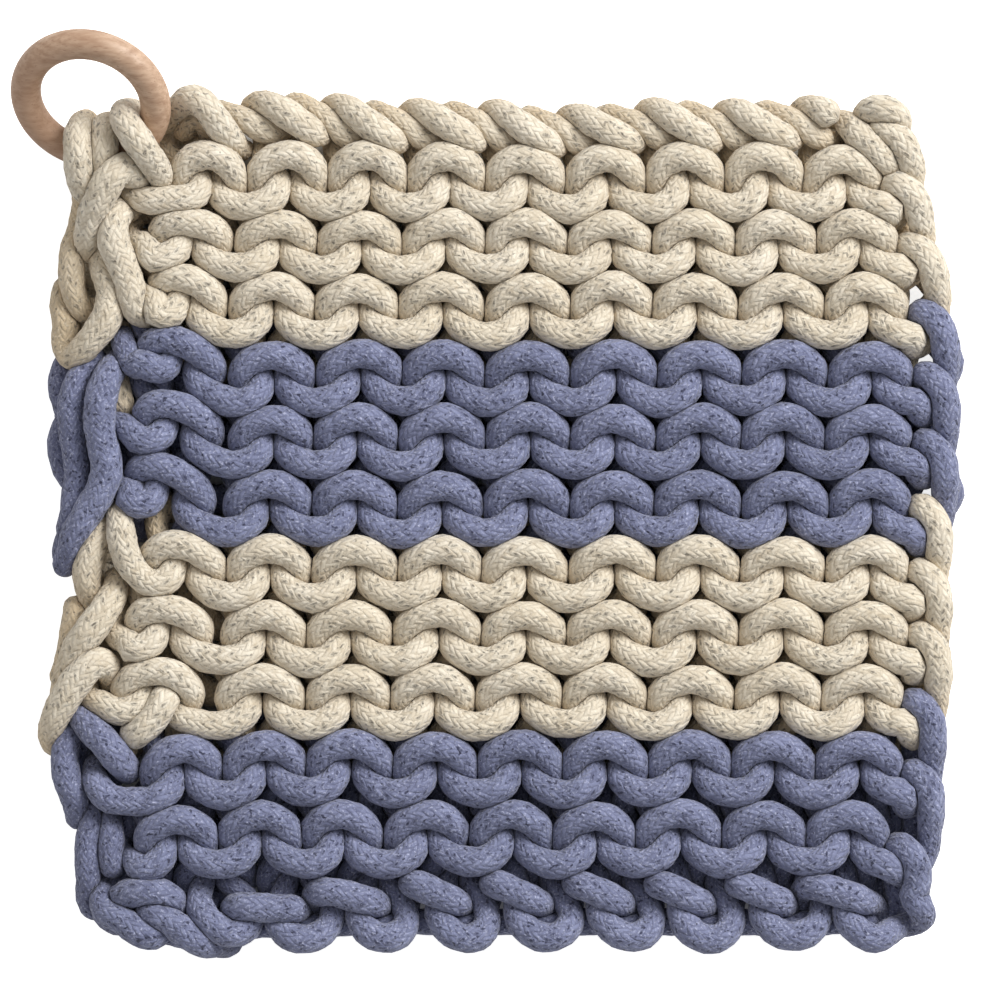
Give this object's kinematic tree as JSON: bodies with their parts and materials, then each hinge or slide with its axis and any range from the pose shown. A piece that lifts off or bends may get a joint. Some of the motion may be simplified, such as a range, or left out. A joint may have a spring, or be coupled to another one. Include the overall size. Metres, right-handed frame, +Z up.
{
  "type": "pot holder",
  "caption": "Square garter-stitch pot holder of thick cotton cord in cream and blue stripes, lying flat, with a wooden hanging ring held in its corner loops.",
  "frame": {"origin": "middle of the object's box, at the surface that the pad lies on", "axes": "+X along the stitches to the right, +Y up the knitting from the cast-on to the cast-off edge, +Z up from the back to the face"},
  "size_m": [0.218, 0.2126, 0.0317],
  "materials": {
    "cream_cord": "matte braided cotton cord, cream with small grey-brown flecks",
    "blue_cord": "matte braided cotton cord, periwinkle blue with small navy flecks",
    "ring_wood": "plain sanded light wood"
  },
  "bodies": {
    "root": {"knitted_pad": "cream_cord", "hanging_ring": "ring_wood"}
  },
  "joints": []
}
